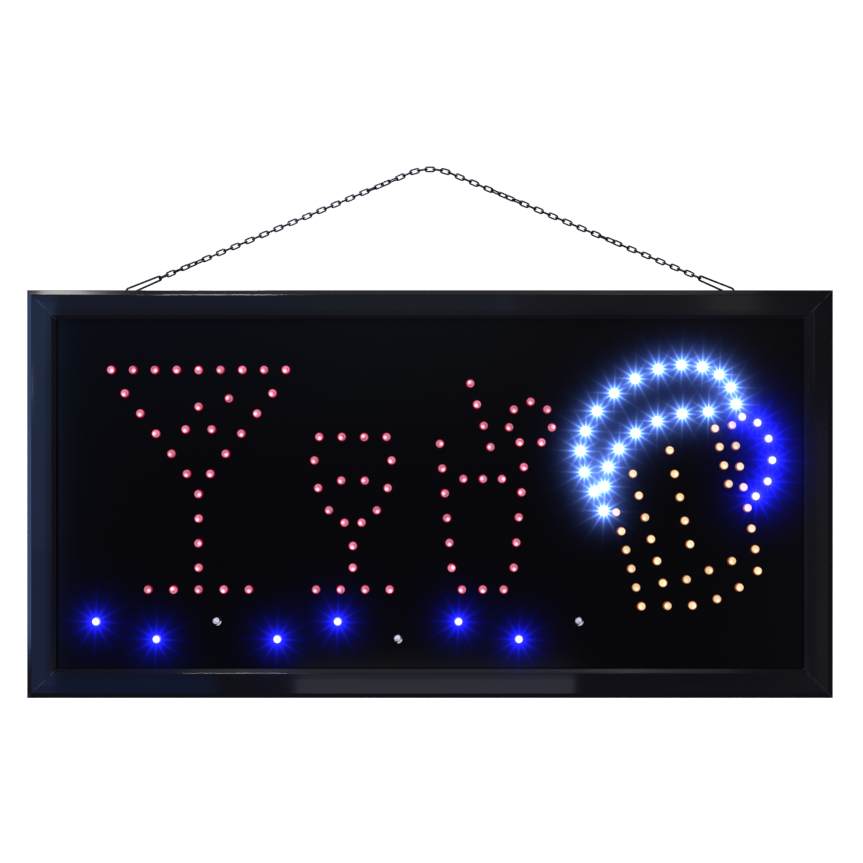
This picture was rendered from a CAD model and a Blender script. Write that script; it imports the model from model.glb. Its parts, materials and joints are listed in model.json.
"""Looks of the hanging LED sign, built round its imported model.

All lengths are metres in the model's own frame: +X to the viewer's right, +Y to the back, +Z up,
with the origin at the chain's middle link.
"""

import json
import math
import random

import bmesh
import bpy
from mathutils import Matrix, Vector


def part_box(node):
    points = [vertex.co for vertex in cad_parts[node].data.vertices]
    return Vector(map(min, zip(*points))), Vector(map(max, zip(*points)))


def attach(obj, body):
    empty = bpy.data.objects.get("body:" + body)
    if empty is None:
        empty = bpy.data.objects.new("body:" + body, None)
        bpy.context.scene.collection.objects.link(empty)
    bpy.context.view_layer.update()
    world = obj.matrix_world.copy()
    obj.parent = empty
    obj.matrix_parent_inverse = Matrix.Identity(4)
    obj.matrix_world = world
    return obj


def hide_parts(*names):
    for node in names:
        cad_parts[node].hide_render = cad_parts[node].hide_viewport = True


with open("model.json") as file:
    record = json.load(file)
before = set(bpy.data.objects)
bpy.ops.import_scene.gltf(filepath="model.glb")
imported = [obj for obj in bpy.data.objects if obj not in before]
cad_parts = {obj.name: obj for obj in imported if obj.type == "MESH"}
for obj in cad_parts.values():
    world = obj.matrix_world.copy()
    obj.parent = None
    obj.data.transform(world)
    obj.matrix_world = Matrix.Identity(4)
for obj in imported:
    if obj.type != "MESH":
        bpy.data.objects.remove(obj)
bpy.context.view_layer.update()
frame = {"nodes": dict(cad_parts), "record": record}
nodes = frame["nodes"]
scene = bpy.context.scene
MM = 0.001

# ---------------------------------------------------------------- places taken from the frame

rail_low, rail_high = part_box("bottom_rail")
top_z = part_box("top_rail")[1].z
FACE_CENTRE = Vector((0, rail_low.y, (rail_low.z + top_z) / 2))
SIGN_W = rail_high.x - rail_low.x
SIGN_H = top_z - rail_low.z

# ---------------------------------------------------------------- camera

PICTURE_WIDTH = SIGN_W * 1.0694       # what the camera takes in, measured at the frame's front
SENSOR_WIDTH = 36                     # mm, as Blender counts it
CAMERA_DISTANCE = 1.6
CAMERA_RISE = 37.3 * MM               # the camera's level line passes this far above FACE_CENTRE
CAMERA_ASIDE = 0.9 * MM               # and this far to its right


def make_camera():
    data = bpy.data.cameras.new("camera")
    data.sensor_width = SENSOR_WIDTH
    data.lens = SENSOR_WIDTH * CAMERA_DISTANCE / PICTURE_WIDTH
    data.clip_start = 0.01
    camera = bpy.data.objects.new("camera", data)
    camera.location = FACE_CENTRE + Vector((CAMERA_ASIDE, -CAMERA_DISTANCE, CAMERA_RISE))
    camera.rotation_euler = (math.radians(90), 0, 0)
    scene.collection.objects.link(camera)
    scene.camera = camera


make_camera()

# ---------------------------------------------------------------- node graph helper

TO_FRONT = (0, -1, 0)
ALMOST_LEVEL = (0.985, 0.992)         # cosines of a turn of about 10 and 7 degrees off the front


class Graph:
    """A material's node tree, with short calls for the nodes used here.

    A value handed to a call is a number, a tuple or another node's output. A texture's scale is
    its number of features to the metre, before any stretch of the place.
    """

    def __init__(self, name):
        self.material = bpy.data.materials.new(name)
        self.material.use_nodes = True
        self.tree = self.material.node_tree
        self.tree.nodes.clear()
        self.output = self.new("ShaderNodeOutputMaterial")
        self.shader = self.new("ShaderNodeBsdfPrincipled")
        self.link(self.shader.outputs[0], self.output.inputs["Surface"])

    def new(self, kind, **settings):
        node = self.tree.nodes.new(kind)
        for key, value in settings.items():
            setattr(node, key, value)
        return node

    def link(self, source, target):
        self.tree.links.new(source, target)

    def put(self, target, value):
        """Links an output to the socket, or sets the socket to a plain value."""
        if isinstance(value, bpy.types.NodeSocket):
            self.link(value, target)
        else:
            target.default_value = value

    def set(self, **values):
        """Sets the shader's sockets: underscores in the names stand for spaces."""
        for key, value in values.items():
            self.put(self.shader.inputs[key.replace("_", " ")], value)

    def math(self, operation, a, b=0.0):
        node = self.new("ShaderNodeMath", operation=operation)
        for socket, value in zip(node.inputs, (a, b)):
            self.put(socket, value)
        return node.outputs[0]

    def vector(self, operation, a, b=(0, 0, 0), scale=1.0):
        node = self.new("ShaderNodeVectorMath", operation=operation)
        self.put(node.inputs[0], a)
        if operation == "SCALE":
            self.put(node.inputs["Scale"], scale)
        else:
            self.put(node.inputs[1], b)
        scalar = operation in ("LENGTH", "DISTANCE", "DOT_PRODUCT")
        return node.outputs["Value" if scalar else "Vector"]

    def ramp(self, value, low, high, to_low=0.0, to_high=1.0):
        """Eases from to_low to to_high while the value goes from low to high."""
        node = self.new("ShaderNodeMapRange", interpolation_type="SMOOTHSTEP")
        for name, number in (
            ("From Min", low), ("From Max", high), ("To Min", to_low), ("To Max", to_high),
        ):
            node.inputs[name].default_value = number
        self.put(node.inputs["Value"], value)
        return node.outputs[0]

    def mix(self, factor, a, b):
        node = self.new("ShaderNodeMix", data_type="RGBA")
        self.put(node.inputs["Factor"], factor)
        for name, value in (("A", a), ("B", b)):
            socket = next(s for s in node.inputs if s.name == name and s.type == "RGBA")
            self.put(socket, (*value, 1) if isinstance(value, tuple) else value)
        return next(s for s in node.outputs if s.type == "RGBA")

    def attribute(self, name, output):
        return self.new("ShaderNodeAttribute", attribute_name=name).outputs[output]

    def place(self, stretch=(1, 1, 1)):
        """The point's place on the object, in metres, stretched along the axes."""
        coordinates = self.new("ShaderNodeTexCoord").outputs["Object"]
        return self.vector("MULTIPLY", coordinates, stretch)

    def noise(self, place, scale, detail=3.0, roughness=0.5):
        node = self.new("ShaderNodeTexNoise")
        self.put(node.inputs["Vector"], place)
        node.inputs["Scale"].default_value = scale
        node.inputs["Detail"].default_value = detail
        node.inputs["Roughness"].default_value = roughness
        return node.outputs["Fac"]

    def cells(self, place, scale, feature="F1"):
        node = self.new("ShaderNodeTexVoronoi", feature=feature)
        self.put(node.inputs["Vector"], place)
        node.inputs["Scale"].default_value = scale
        return node.outputs["Distance"]

    def levelled_normal(self, amount):
        """The surface's normal, with faces that look almost straight to the front brought level."""
        normal = self.new("ShaderNodeTexCoord").outputs["Normal"]
        facing = self.ramp(self.vector("DOT_PRODUCT", normal, TO_FRONT), *ALMOST_LEVEL)
        share = self.math("MULTIPLY", facing, amount)
        rest = self.math("SUBTRACT", 1.0, share)
        level = self.vector("ADD", self.vector("SCALE", normal, scale=rest),
                            self.vector("SCALE", TO_FRONT, scale=share))
        turn = self.new("ShaderNodeVectorTransform", vector_type="NORMAL",
                        convert_from="OBJECT", convert_to="WORLD")
        self.link(self.vector("NORMALIZE", level), turn.inputs[0])
        return turn.outputs[0]

    def mitre_hairline(self, width):
        """Up to 1 along the four mitred joints of the frame, in a broken line, and 0 elsewhere."""
        apart = self.new("ShaderNodeSeparateXYZ")
        self.link(self.vector("SUBTRACT", self.place(), tuple(FACE_CENTRE)), apart.inputs[0])
        from_side = self.math("SUBTRACT", SIGN_W / 2, self.math("ABSOLUTE", apart.outputs["X"]))
        from_edge = self.math("SUBTRACT", SIGN_H / 2, self.math("ABSOLUTE", apart.outputs["Z"]))
        off = self.math("ABSOLUTE", self.math("SUBTRACT", from_side, from_edge))
        line = self.ramp(off, width * 0.6, width, 1.0, 0.0)
        breaks = self.ramp(self.noise(self.place(), 350, 2), 0.38, 0.6)
        return self.math("MULTIPLY", line, breaks)

    def bump(self, height, depth, strength=1.0, normal=None):
        """Feeds a height between 0 and 1, standing for depth metres, into the shader's normal."""
        node = self.new("ShaderNodeBump")
        if normal:
            self.link(normal, node.inputs["Normal"])
        node.inputs["Strength"].default_value = strength
        node.inputs["Distance"].default_value = depth
        self.put(node.inputs["Height"], height)
        self.link(node.outputs[0], self.shader.inputs["Normal"])


# ---------------------------------------------------------------- materials

MITRE_LINE = 0.4 * MM
MITRE_TONE = (0.16, 0.16, 0.18)       # bare cut plastic
FACE_LEVELLING = 0.9                  # the share of its crown that the gloss of the face ignores
EPOXY_IOR = 1.52
LIT_EPOXY = {"Roughness": 0.2, "IOR": EPOXY_IOR, "Specular_IOR_Level": 0.2}


def drawn_out(axis, along, across=1.0):
    """A stretch for Graph.place that draws a texture out along one axis."""
    return tuple(along if i == axis else across for i in range(3))


def moulding(name, axis):
    """Gloss black extruded plastic: faint die lines along its length, hairline scratches, dust,
    and bare cut plastic showing at its mitres.
    """
    g = Graph(name)
    die_lines = g.noise(g.place(drawn_out(axis, 0.03)), 900, 2)
    waves = g.noise(g.place(), 14, 2)
    hairs = g.ramp(g.noise(g.place(drawn_out(axis, 0.12, 1.6)), 420, 4, 0.7), 0.66, 0.74)
    dust = g.ramp(g.cells(g.place(), 420), 0.0, 0.06, 1.0, 0.0)
    dust = g.math("MULTIPLY", dust, g.ramp(g.noise(g.place(), 60, 2), 0.55, 0.75))
    colour = g.mix(waves, (0.006, 0.006, 0.0075), (0.009, 0.009, 0.011))
    colour = g.mix(g.math("MULTIPLY", hairs, 0.25), colour, (0.05, 0.05, 0.055))
    colour = g.mix(g.math("MULTIPLY", dust, 0.35), colour, (0.16, 0.16, 0.15))
    g.set(
        Base_Color=g.mix(g.mitre_hairline(MITRE_LINE), colour, MITRE_TONE),
        Roughness=g.math("ADD", g.ramp(waves, 0.3, 0.7, 0.10, 0.17),
                         g.math("MULTIPLY", hairs, 0.16)),
        IOR=1.5, Coat_Weight=0.35, Coat_Roughness=0.06,
    )
    height = g.math("ADD", g.math("MULTIPLY", die_lines, 0.35), g.math("MULTIPLY", waves, 0.65))
    g.bump(height, 0.03 * MM, 0.5, g.levelled_normal(FACE_LEVELLING))
    return g.material


def plastic(name, colour, rough=0.5, pebble=0.0, pebble_size=1400, coat=0.0, wear=0.3):
    """Moulded plastic: uneven tone, fine surface texture, rubbed patches."""
    g = Graph(name)
    tone = g.noise(g.place(), 22, 3)
    grain = g.noise(g.place(), pebble_size, 2)
    rubbed = g.ramp(g.noise(g.place(), 75, 5, 0.65), 0.56, 0.72)
    rub = g.math("MULTIPLY", rubbed, 0.12 * wear)
    darker = tuple(c * 0.8 for c in colour)
    lighter = tuple(min(1.0, c * 1.25 + 0.004) for c in colour)
    chalky = tuple(min(1.0, c + 0.12) for c in colour)
    g.set(
        Base_Color=g.mix(rub, g.mix(tone, darker, lighter), chalky),
        Roughness=g.math("SUBTRACT", g.ramp(grain, 0.3, 0.7, rough * 0.9, rough * 1.12), rub),
        IOR=1.48, Coat_Weight=coat, Coat_Roughness=0.08,
    )
    cells = g.cells(g.place(), pebble_size * 0.55, "SMOOTH_F1")
    height = g.math("ADD", g.math("MULTIPLY", cells, pebble), g.math("MULTIPLY", grain, 0.3))
    g.bump(height, 0.08 * MM, 0.6)
    return g.material


def metal(name, colour, rough=0.3, stain=(0.3, 0.3, 0.3), stained=0.3, brushed=0.3):
    """Plated or drawn metal: drawing marks and dull stains."""
    g = Graph(name)
    marks = g.noise(g.place(), 2600, 3, 0.6)
    dull = g.ramp(g.noise(g.place(), 160, 5, 0.6), 0.48, 0.7)
    amount = g.math("MULTIPLY", dull, stained)
    g.set(
        Base_Color=g.mix(amount, g.mix(marks, tuple(c * 0.85 for c in colour), colour), stain),
        Metallic=1.0,
        Roughness=g.math("ADD", g.math("MULTIPLY", dull, 0.18),
                         g.ramp(marks, 0.3, 0.7, rough * 0.85, rough * 1.2)),
    )
    g.bump(marks, 0.04 * MM, brushed)
    return g.material


def board_sheet():
    """Black sheet with a soft sheen, a fine roller texture and a little lint."""
    g = Graph("display_board_sheet")
    tone = g.noise(g.place(), 9, 3)
    roller = g.noise(g.place(), 1800, 2)
    lint = g.ramp(g.cells(g.place((1, 1, 0.6)), 95), 0.0, 0.02, 1.0, 0.0)
    colour = g.mix(tone, (0.0008, 0.0008, 0.001), (0.0016, 0.0016, 0.002))
    g.set(
        Base_Color=g.mix(g.math("MULTIPLY", lint, 0.25), colour, (0.06, 0.06, 0.06)),
        Roughness=g.ramp(roller, 0.3, 0.7, 0.15, 0.22),
        IOR=1.45, Specular_IOR_Level=0.38,
    )
    g.bump(roller, 0.02 * MM, 0.3)
    return g.material


def circuit_board():
    """Green solder mask over faint copper tracks."""
    g = Graph("solder_mask")
    borders = g.cells(g.place((1, 0, 1)), 210, "DISTANCE_TO_EDGE")
    tracks = g.ramp(borders, 0.03, 0.06, 1.0, 0.0)
    weave = g.noise(g.place(), 900, 2)
    base = g.mix(weave, (0.012, 0.12, 0.045), (0.02, 0.17, 0.065))
    g.set(
        Base_Color=g.mix(tracks, base, (0.05, 0.27, 0.1)),
        Roughness=0.32, IOR=1.5,
    )
    g.bump(g.math("ADD", g.math("MULTIPLY", weave, 0.2), tracks), 0.04 * MM, 0.5)
    return g.material


def raw_wood():
    """Unfinished softwood, with its grain along X."""
    g = Graph("anchor_block_wood")
    rings = g.noise(g.place((0.12, 1, 1)), 420, 4, 0.6)
    pores = g.noise(g.place((0.2, 1, 1)), 2400, 2)
    g.set(
        Base_Color=g.mix(rings, (0.42, 0.27, 0.14), (0.68, 0.5, 0.3)),
        Roughness=g.ramp(pores, 0.3, 0.7, 0.62, 0.8),
    )
    g.bump(g.math("ADD", rings, pores), 0.08 * MM, 0.5)
    return g.material


def lit_lamp(name, core, body, mark, rim):
    """A lamp lit gently enough to see into: a pale spot over the chip, the cup's dark curved edge,
    and a deep colour round the rim, widest at the bottom.

    The lamp mesh carries two vertex attributes: lamp_place, across, up and back from the tip in
    lamp radii, and lamp_power, each lamp's own brightness.
    """
    g = Graph(name)
    flat = g.vector("MULTIPLY", g.attribute("lamp_place", "Vector"), (1, 1, 0))
    mottle = g.noise(g.place((1, 0, 1)), 620, 2, 0.6)
    streaky = g.noise(g.place((1, 0, 1)), 260, 2, 0.5)
    spot = g.ramp(g.vector("DISTANCE", flat, (-0.06, -0.3, 0)), 0.1, 0.62, 1.0, 0.0)
    spot = g.math("MULTIPLY", spot, g.ramp(mottle, 0.3, 0.6, 0.55, 1.0))
    from_cup = g.vector("DISTANCE", flat, (0.05, -0.05, 0))
    ring = g.math("ABSOLUTE", g.math("SUBTRACT", from_cup, 0.52))
    arc = g.math(
        "MULTIPLY", g.ramp(ring, 0.02, 0.2, 1.0, 0.0),
        g.ramp(g.vector("DOT_PRODUCT", flat, (0.6, 0.8, 0)), 0.1, 0.4),
    )
    arc = g.math("MULTIPLY", arc, g.ramp(streaky, 0.35, 0.65, 0.1, 1.0))
    edge = g.ramp(g.vector("DISTANCE", flat, (0.0, 0.09, 0)), 0.72, 0.96)
    colour = g.mix(g.math("MULTIPLY", g.ramp(mottle, 0.42, 0.7), 0.3), body, mark)
    colour = g.mix(g.math("MULTIPLY", arc, 0.9), colour, mark)
    colour = g.mix(spot, colour, core)
    colour = g.mix(edge, colour, rim)
    g.set(
        Base_Color=(*rim, 1),
        **LIT_EPOXY,
        Emission_Color=colour,
        Emission_Strength=g.attribute("lamp_power", "Fac"),
    )
    return g.material


def bright_lamp(name, face, rim):
    """A lamp too bright to see into: one pale blaze, with colour only at the dome's rim."""
    g = Graph(name)
    flat = g.vector("MULTIPLY", g.attribute("lamp_place", "Vector"), (1, 1, 0))
    g.set(
        Base_Color=(*rim, 1),
        **LIT_EPOXY,
        Emission_Color=g.mix(g.ramp(g.vector("LENGTH", flat), 0.6, 0.95), face, rim),
        Emission_Strength=g.attribute("lamp_power", "Fac"),
    )
    return g.material


def spark(name, colour, power):
    """The dazzling point at a bright lamp's tip, straight in front of its chip.

    It is there for the lens's glare, so it isn't sampled as a light on the other pieces.
    """
    g = Graph(name)
    g.set(Base_Color=(*colour, 1), Roughness=0.3)
    g.set(Emission_Color=(*colour, 1), Emission_Strength=power)
    g.material.cycles.emission_sampling = "NONE"
    return g.material


def clear_epoxy():
    """The faintly blue, slightly uneven cast resin of a lamp that isn't lit."""
    g = Graph("lamp_epoxy_clear")
    g.set(
        Base_Color=(0.8, 0.81, 0.99, 1),
        Roughness=0.03, IOR=EPOXY_IOR, Transmission_Weight=1.0,
    )
    g.bump(g.noise(g.place(), 1500, 2), 0.02 * MM, 0.3)
    return g.material


MATERIAL = {
    "frame_along_x": moulding("frame_plastic_along_x", 0),
    "frame_along_z": moulding("frame_plastic_along_z", 2),
    "board_plastic": board_sheet(),
    "tinned_wire": metal("tinned_wire", (0.74, 0.73, 0.7), 0.28),
    "red_insulation": plastic("red_insulation", (0.42, 0.012, 0.012), 0.42),
    "blue_insulation": plastic("blue_insulation", (0.02, 0.08, 0.4), 0.42),
    "yellow_insulation": plastic("yellow_insulation", (0.62, 0.4, 0.02), 0.42),
    "key_plastic": plastic("key_plastic", (0.07, 0.07, 0.07), 0.55, pebble=0.4),
    "cover_plastic": plastic(
        "cover_plastic", (0.017, 0.017, 0.019), 0.52, pebble=1.0, pebble_size=1700),
    "screw_steel": metal("screw_steel", (0.62, 0.62, 0.63), 0.27, (0.34, 0.33, 0.31), 0.3),
    "spacer_foam": plastic("spacer_foam", (0.05, 0.05, 0.055), 0.9, pebble=1.6, pebble_size=900),
    "pcb_green": circuit_board(),
    "component_black": plastic(
        "component_black", (0.016, 0.016, 0.017), 0.5, pebble=0.6, pebble_size=3000),
    "capacitor_sleeve": plastic("capacitor_sleeve", (0.015, 0.02, 0.1), 0.25, coat=0.5),
    "resistor_coat": plastic("resistor_coat", (0.66, 0.47, 0.25), 0.35, coat=0.3),
    "header_nylon": plastic("header_nylon", (0.8, 0.75, 0.63), 0.45),
    "contact_brass": metal("contact_brass", (0.8, 0.58, 0.25), 0.25, (0.42, 0.3, 0.14), 0.35),
    "switch_plastic": plastic(
        "switch_plastic", (0.02, 0.02, 0.021), 0.42, pebble=0.5, pebble_size=2600),
    "rocker_plastic": plastic(
        "rocker_plastic", (0.016, 0.016, 0.017), 0.26, coat=0.4, wear=0.8),
    "block_wood": raw_wood(),
    "eye_steel": metal("eye_steel", (0.66, 0.66, 0.67), 0.24, (0.36, 0.35, 0.33), 0.3),
    "chain_steel": metal("chain_steel", (0.1, 0.082, 0.118), 0.34, (0.05, 0.042, 0.055), 0.5),
    "lamp_red": lit_lamp(
        "lamp_lit_red", core=(1.3, 1.05, 1.15), body=(0.66, 0.23, 0.35),
        mark=(0.4, 0.02, 0.07), rim=(0.36, 0.0, 0.03)),
    "lamp_amber": lit_lamp(
        "lamp_lit_amber", core=(1.25, 1.12, 0.88), body=(0.93, 0.73, 0.46),
        mark=(0.9, 0.5, 0.05), rim=(0.3, 0.065, 0.01)),
    "lamp_white": bright_lamp("lamp_lit_white", (4.5, 5.5, 5.9), (2.4, 4.2, 5.9)),
    "lamp_blue": bright_lamp("lamp_lit_blue", (1.5, 1.5, 2.0), (0.15, 0.14, 1.5)),
    "lamp_clear": clear_epoxy(),
}
SPARK = {                             # by slot, apart from the mug's handle
    "lamp_white": spark("lamp_spark_white", (0.1, 0.29, 1.0), 315),
    "lamp_blue": spark("lamp_spark_blue", (0.006, 0.01, 1.0), 900),
    "handle": spark("lamp_spark_handle", (0.007, 0.011, 1.0), 1650),
}


def dress_cad_nodes():
    """Gives each CAD node the material of its slot in the record."""
    slot_of = {part["node"]: part["material_slot"] for part in frame["record"]["subparts"]}
    for name, thing in nodes.items():
        slot = slot_of[name]
        if slot == "frame_plastic":
            slot = "frame_along_x" if name.endswith("rail") else "frame_along_z"
        thing.data.materials.clear()
        thing.data.materials.append(MATERIAL[slot])


dress_cad_nodes()

# ---------------------------------------------------------------- lamps

LAMP_R = 2.5 * MM
FLANGE_R = 2.9 * MM
FLANGE_T = 1.0 * MM
SPARK_R = 0.5 * MM                    # the dazzling cap at the tip of a bright lamp's dome
SIDES = 24
DOME_BANDS = 9                        # from the tip to the dome's rim
SHARP_EDGE = math.radians(40)
TIP_NEARNESS = 0.01 * MM              # the points of a CAD lamp's tip lie within this of its front
TIP_DIGITS = 5                        # decimals of a metre that tell two tips apart

LAMP_TURNS = 0.9                      # spread of the lamps' turns about their axes, radians
LAMP_POWERS = (0.85, 1.25)            # dimmest and brightest lamp of a group

CUP_BACK = LAMP_R * 1.25              # the cup's rim, behind the tip
CUP_ASIDE = -0.55 * MM
CUP_HOLLOW = ((0, 0.45), (0.5, 0.4), (0.95, 0))           # mm: radius, back from the rim
CUP_OUTSIDE = ((1.15, 0), (1.0, 1.2), (0.3, 1.5))
POST_R = 0.3 * MM
POST_END_GAP = 0.25 * MM              # the post stops this far before the lamp's base
ANVIL_ASIDE = 1.15 * MM
ANVIL_T = 0.8 * MM
ANVIL_LENGTH = 2.6 * MM
ANVIL_FRONT_W = 2.1 * MM
ANVIL_BACK_W = 0.6 * MM
ANVIL_MIDDLE = 1.5 * MM               # behind the cup's rim
FRAME_TURNS = (0.7, 1.0)              # least and greatest turn of a lead frame, radians


def lamp_tips(node):
    """The middle of each lamp's tip, from the node's own mesh, and the lamps' length."""
    low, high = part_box(node)
    tips = {
        (round(v.co.x, TIP_DIGITS), round(v.co.z, TIP_DIGITS))
        for v in nodes[node].data.vertices
        if v.co.y < low.y + TIP_NEARNESS
    }
    return [Vector((x, low.y, z)) for x, z in sorted(tips)], high.y - low.y


def circle(mesh, radius, middle):
    """Points on an upright circle, or its middle alone where it has no radius."""
    if radius == 0:
        return [mesh.verts.new(middle)]
    turns = [2 * math.pi * i / SIDES for i in range(SIDES)]
    return [
        mesh.verts.new(middle + Vector((radius * math.cos(a), 0, radius * math.sin(a))))
        for a in turns
    ]


def lathe(mesh, tip, outline, cap_material=0):
    """Turns an outline of (radius, distance behind the tip) round a lamp's axis.

    The first band of faces, about the tip, takes the material slot cap_material. Returns the
    points.
    """
    rings = [circle(mesh, radius, tip + Vector((0, back, 0))) for radius, back in outline]
    for first, second in zip(rings, rings[1:]):
        for i in range(SIDES):
            j = (i + 1) % SIDES
            corners = [
                first[i % len(first)], first[j % len(first)],
                second[j % len(second)], second[i % len(second)],
            ]
            face = mesh.faces.new(list(dict.fromkeys(corners)))
            face.material_index = cap_material if first is rings[0] else 0
    return [v for points in rings for v in points]


def lamp_outline(length):
    """A 5 mm lamp: dome, straight body, flange, flat base.

    The body has one ring close behind the dome, which keeps the dome's shading off the rest.
    """
    spark_edge = math.asin(SPARK_R / LAMP_R)
    bands = [math.pi / 2 * i / DOME_BANDS for i in range(2, DOME_BANDS + 1)]
    dome = [
        (LAMP_R * math.sin(a), LAMP_R * (1 - math.cos(a))) for a in [0, spark_edge] + bands
    ]
    shoulder = length - FLANGE_T
    body = [(LAMP_R, LAMP_R * 1.5), (LAMP_R, shoulder)]
    flange = [(FLANGE_R, shoulder), (FLANGE_R, length)]
    return dome + body + flange + [(0, length)]


def make_object(name, mesh, body, *materials):
    """Turns a bmesh into a smooth-shaded object that rides on a body."""
    data = bpy.data.meshes.new(name)
    mesh.normal_update()
    mesh.to_mesh(data)
    mesh.free()
    for face in data.polygons:
        face.use_smooth = True
    thing = bpy.data.objects.new(name, data)
    scene.collection.objects.link(thing)
    for material in materials:
        data.materials.append(material)
    data.set_sharp_from_angle(angle=SHARP_EDGE)
    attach(thing, body)
    return thing


def lamp_group(node, slot, seed, spark_name=None):
    """Domed lamps in place of a CAD node, each turned and lit a little differently."""
    rng = random.Random(seed)
    tips, length = lamp_tips(node)
    sparks = [SPARK[spark_name or slot]] if slot in SPARK else []
    mesh = bmesh.new()
    places = []
    powers = []
    for tip in tips:
        points = lathe(mesh, tip, lamp_outline(length), cap_material=len(sparks))
        turn = rng.gauss(0, LAMP_TURNS)
        power = rng.uniform(*LAMP_POWERS)
        for v in points:
            across, up = (v.co.x - tip.x) / LAMP_R, (v.co.z - tip.z) / LAMP_R
            places.append((
                across * math.cos(turn) - up * math.sin(turn),
                across * math.sin(turn) + up * math.cos(turn),
                (v.co.y - tip.y) / LAMP_R,
            ))
            powers.append(power)
    bmesh.ops.recalc_face_normals(mesh, faces=mesh.faces)
    group = make_object(node + "_domes", mesh, "sign", MATERIAL[slot], *sparks)
    place = group.data.attributes.new("lamp_place", "FLOAT_VECTOR", "POINT")
    place.data.foreach_set("vector", [n for p in places for n in p])
    power = group.data.attributes.new("lamp_power", "FLOAT", "POINT")
    power.data.foreach_set("value", powers)
    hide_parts(node)


def lamp_insides(node, seed):
    """The lead frame inside each unlit lamp: a cup on its post, and the anvil beside it."""
    tips, length = lamp_tips(node)
    rng = random.Random(seed)
    mesh = bmesh.new()
    cup = [(radius * MM, CUP_BACK + back * MM) for radius, back in CUP_HOLLOW + CUP_OUTSIDE]
    post_end = length - POST_END_GAP
    for tip in tips:
        turn = rng.uniform(*FRAME_TURNS)
        cos, sin = math.cos(turn), math.sin(turn)
        axis = tip + Vector((CUP_ASIDE * cos, 0, -CUP_ASIDE * sin))
        lathe(mesh, axis, cup + [(POST_R, post_end), (0, post_end)])
        anvil = bmesh.ops.create_cube(mesh, size=1.0)["verts"]
        for v in anvil:
            across = ANVIL_ASIDE + v.co.x * ANVIL_T
            up = v.co.z * (ANVIL_FRONT_W if v.co.y < 0 else ANVIL_BACK_W)
            v.co = tip + Vector((
                across * cos + up * sin,
                CUP_BACK + ANVIL_MIDDLE + v.co.y * ANVIL_LENGTH,
                -across * sin + up * cos,
            ))
    bmesh.ops.recalc_face_normals(mesh, faces=mesh.faces)
    insides = make_object(node + "_lead_frames", mesh, "sign", MATERIAL["tinned_wire"])


lamp_group("red_lamps", "lamp_red", seed=11)
lamp_group("white_lamps", "lamp_white", seed=12)
lamp_group("amber_lamps", "lamp_amber", seed=13)
lamp_group("blue_handle_lamps", "lamp_blue", seed=14, spark_name="handle")
lamp_group("wave_lamps_lit", "lamp_blue", seed=15)
lamp_group("wave_lamps_unlit", "lamp_clear", seed=16)
lamp_insides("wave_lamps_unlit", seed=21)

# ---------------------------------------------------------------- stage and light

FLOOR_DROP = 0.25                     # from the sign's lower edge down to the floor
FLOOR_Z = rail_low.z - FLOOR_DROP
COVE_R = 2.4
COVE_BEND = 0.7
COVE_BEND_STEPS = 12
COVE_TOP = 2.4
COVE_SIDES = 96
COVE_HOLE = 0.001                     # radius left open at the floor's middle
SKY = (0.74, 0.69, 1.0)
SKY_STRENGTH = 0.1
WHITE = (1, 1, 1)
WARM_WHITE = (1.0, 0.98, 0.95)
PALE_BLUE = (0.43, 0.54, 1.0)
SKY_BLUE = (0.6, 0.8, 1.0)
FAR = 1.8                             # a card's distance: behind the camera,
NEAR = 0.15                           # or close to the sign, for one length of moulding only


def make_cove():
    """A round pale floor that curves up into a wall all about the sign.

    The camera sees it and it glows by itself, so it neither lights the sign nor shows in its
    gloss.
    """
    steps = [math.pi / 2 * i / COVE_BEND_STEPS for i in range(COVE_BEND_STEPS + 1)]
    bend = [
        (COVE_R - COVE_BEND + COVE_BEND * math.sin(a), FLOOR_Z + COVE_BEND * (1 - math.cos(a)))
        for a in steps
    ]
    outline = [(COVE_HOLE, FLOOR_Z)] + bend + [(COVE_R, COVE_TOP)]
    turns = [2 * math.pi * i / COVE_SIDES for i in range(COVE_SIDES)]
    mesh = bmesh.new()
    rings = [
        [mesh.verts.new((r * math.cos(a), r * math.sin(a), z)) for a in turns]
        for r, z in outline
    ]
    for first, second in zip(rings, rings[1:]):
        for i in range(COVE_SIDES):
            j = (i + 1) % COVE_SIDES
            mesh.faces.new([first[i], first[j], second[j], second[i]])
    data = bpy.data.meshes.new("cove")
    mesh.to_mesh(data)
    mesh.free()
    for face in data.polygons:
        face.use_smooth = True
    cove = bpy.data.objects.new("cove", data)
    scene.collection.objects.link(cove)
    g = Graph("cove_paint")
    g.set(
        Base_Color=g.mix(g.noise(g.place(), 3, 2), (0.9, 0.9, 0.9), (0.93, 0.93, 0.93)),
        Roughness=0.9,
        Emission_Color=(1, 1, 1, 1),
        Emission_Strength=1.0,
    )
    data.materials.append(g.material)
    cove.visible_glossy = False
    cove.visible_diffuse = False


def soft_light(name, place, target, width, height, radiance, colour=WHITE):
    """A rectangular light, its place and target in metres from the middle of the frame's front."""
    data = bpy.data.lights.new(name, "AREA")
    data.shape = "RECTANGLE"
    data.size, data.size_y = width, height
    data.energy = radiance * math.pi * width * height
    data.color = colour
    lamp = bpy.data.objects.new(name, data)
    lamp.location = FACE_CENTRE + Vector(place)
    lamp.rotation_euler = (Vector(target) - Vector(place)).to_track_quat("-Z", "Y").to_euler()
    lamp.visible_camera = False
    scene.collection.objects.link(lamp)


def card(name, distance, left, right, low, high, radiance, colour=WHITE):
    """A faint upright card in front of the sign, which only the gloss shows."""
    middle = Vector(((left + right) / 2, -distance, (low + high) / 2))
    soft_light(name, middle, (middle.x, 0, middle.z), right - left, high - low, radiance, colour)


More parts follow.
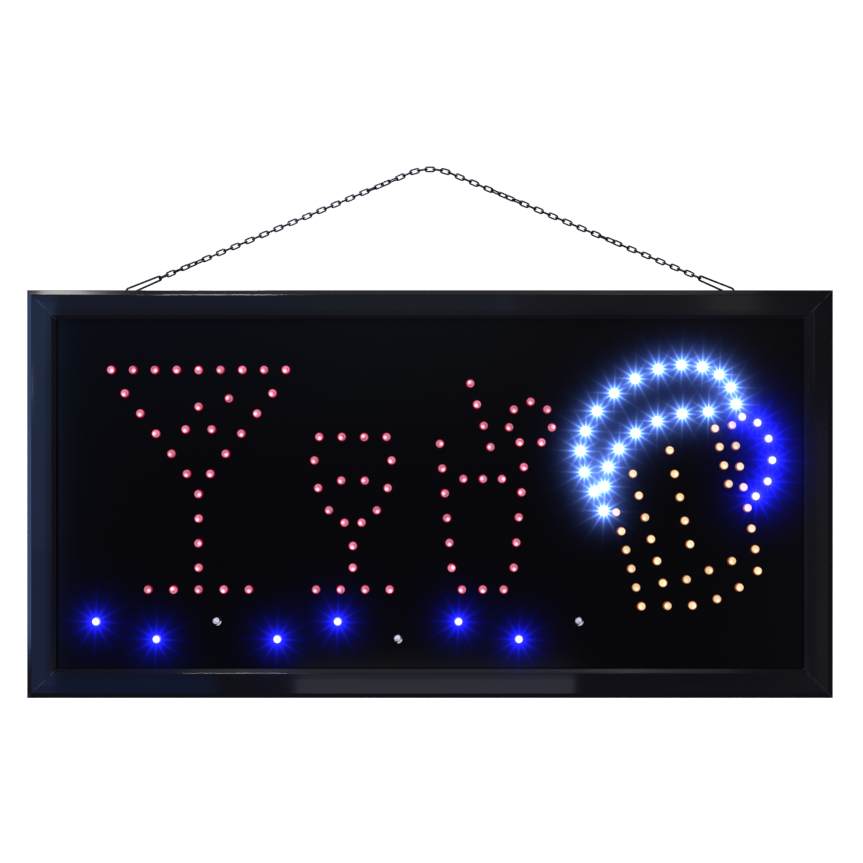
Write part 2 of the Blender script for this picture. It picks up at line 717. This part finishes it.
def make_world():
    """A faint bluish sky."""
    world = bpy.data.worlds.new("studio")
    scene.world = world
    world.use_nodes = True
    background = world.node_tree.nodes["Background"]
    background.inputs["Color"].default_value = (*SKY, 1)
    background.inputs["Strength"].default_value = SKY_STRENGTH


LIGHTS = (      # name, place, target, width, height, radiance, colour unless it is white
    ("overhead", (0.03, -0.26, 0.95), (0.03, 0, 0.1), 0.54, 0.3, 0.28),
    ("overhead_left", (-0.245, -0.075, 0.37), (-0.21, 0, 0.12), 0.06, 0.04, 7.5, WARM_WHITE),
    ("brow_light", (-0.17, -0.42, 0.52), (-0.13, 0, 0.12), 0.09, 0.05, 75),
    ("back_light", (-0.17, 0.2, 0.5), (-0.13, 0, 0.12), 0.09, 0.1, 45),
    ("overhead_spot", (-0.208, -0.3, 0.95), (-0.13, 0, -0.1), 0.074, 0.12, 0.75),
    ("overhead_dim", (0.195, -0.3, 0.95), (0.11, 0, -0.1), 0.1, 0.12, 4.4),
    ("left_window", (-0.82, -0.17, -0.05), (-0.24, 0, -0.03), 0.2, 0.18, 3.4, (0.24, 0.4, 1.0)),
    ("left_high", (-0.82, -0.17, 0.13), (-0.24, 0, 0.07), 0.2, 0.18, 2.4, (0.27, 0.43, 1.0)),
    ("left_point", (-0.72, -1.6, 0.09), (-0.23, 0, 0.05), 0.05, 0.03, 20, SKY_BLUE),
)
CARDS = (       # name, distance, left, right, low, high, radiance, colour unless it is white
    ("left_card", NEAR, -0.31, -0.244, -0.04, 0.132, 0.77, (0.2, 0.4, 1.0)),
    ("left_card_low", NEAR, -0.31, -0.244, -0.138, -0.04, 0.62, (0.17, 0.33, 1.0)),
    ("low_card", NEAR, -0.0875, 0.094, -0.205, -0.118, 0.57, (0.72, 0.77, 1.0)),
    ("low_card_left", NEAR, -0.244, -0.14, -0.205, -0.118, 0.27, (0.02, 0.25, 1.0)),
    ("low_card_right", FAR, 0.27, 0.5, -0.6, -0.29, 0.045, (0.65, 0.6, 1.0)),
    ("top_card_left", FAR, -0.5, -0.16, 0.13, 0.5, 0.23, (0.25, 0.45, 1.0)),
    ("top_card", FAR, -0.16, 0.07, 0.1, 0.5, 0.18, SKY_BLUE),
    ("top_card_right", FAR, 0.1, 0.33, 0.1, 0.5, 0.06),
    ("window_left", FAR, 0.085, 0.13, 0.1, 0.5, 0.9, PALE_BLUE),
    ("window_right", FAR, 0.148, 0.18, 0.1, 0.5, 0.8, PALE_BLUE),
    ("curtain", FAR, 0.348, 0.414, 0.1, 0.5, 0.35),
    ("right_card", FAR, 0.47, 0.85, -0.4, 0.05, 0.13, (1.0, 0.92, 0.85)),
)
FILLS = (       # as LIGHTS: one from the left, two for the back
    ("left_fill", (-0.82, -0.34, 0), (0.225, 0, 0), 0.14, 0.5, 0.2),
    ("back_key", (0.9, 1.5, 0.9), (0, 0, 0), 0.9, 0.9, 8),
    ("back_fill", (-1.3, 1.3, 0.1), (0, 0, 0), 0.6, 1.0, 4, (0.85, 0.92, 1.0)),
)

make_cove()
make_world()
for light in LIGHTS:
    soft_light(*light)
for front_card in CARDS:
    card(*front_card)
for light in FILLS:
    soft_light(*light)

# ---------------------------------------------------------------- glare of the bright lamps

GLARE_THRESHOLD = 6.0
DAZZLE = 20                           # only the white lamps have more green light than this
RAYS = {"Streaks": 12, "Streaks Angle": math.radians(-2),
        "Iterations": 3, "Color Modulation": 0.0}
GLARE = (                             # kind, whether it takes the white lamps only, settings
    ("STREAKS", False, {"Strength": 0.05, "Fade": 0.85, **RAYS}),
    ("STREAKS", True, {"Strength": 0.62, "Fade": 0.7, "Saturation": 0.9, **RAYS}),
    ("FOG_GLOW", True, {"Strength": 7.0, "Size": 0.1, "Tint": (0.72, 0.62, 1.0, 1.0)}),
    ("FOG_GLOW", False, {"Strength": 1.5, "Size": 0.1, "Tint": (0.75, 0.7, 1.0, 1.0)}),
    ("FOG_GLOW", False, {"Strength": 1.0, "Size": 0.2, "Tint": (0.75, 0.6, 1.0, 1.0)}),
)


def make_glare():
    """The lens's starbursts and soft glow round the brightest lamps."""
    scene.use_nodes = True
    tree = scene.node_tree
    tree.nodes.clear()
    picture = tree.nodes.new("CompositorNodeRLayers").outputs["Image"]
    channels = tree.nodes.new("CompositorNodeSeparateColor")
    tree.links.new(picture, channels.inputs["Image"])
    dazzling = tree.nodes.new("CompositorNodeMath")
    dazzling.operation = "GREATER_THAN"
    tree.links.new(channels.outputs["Green"], dazzling.inputs[0])
    dazzling.inputs[1].default_value = DAZZLE
    white_only = tree.nodes.new("CompositorNodeMixRGB")
    white_only.blend_type = "MULTIPLY"
    tree.links.new(picture, white_only.inputs[1])
    tree.links.new(dazzling.outputs[0], white_only.inputs[2])
    total = picture
    for kind, masked, settings in GLARE:
        glare = tree.nodes.new("CompositorNodeGlare")
        glare.glare_type = kind
        glare.quality = "HIGH"
        for name, value in {"Threshold": GLARE_THRESHOLD, **settings}.items():
            glare.inputs[name].default_value = value
        tree.links.new(white_only.outputs["Image"] if masked else picture, glare.inputs["Image"])
        both = tree.nodes.new("CompositorNodeMixRGB")
        both.blend_type = "ADD"
        tree.links.new(total, both.inputs[1])
        tree.links.new(glare.outputs["Glare"], both.inputs[2])
        total = both.outputs["Image"]
    result = tree.nodes.new("CompositorNodeComposite")
    tree.links.new(total, result.inputs["Image"])


make_glare()
scene.view_settings.view_transform = "Standard"
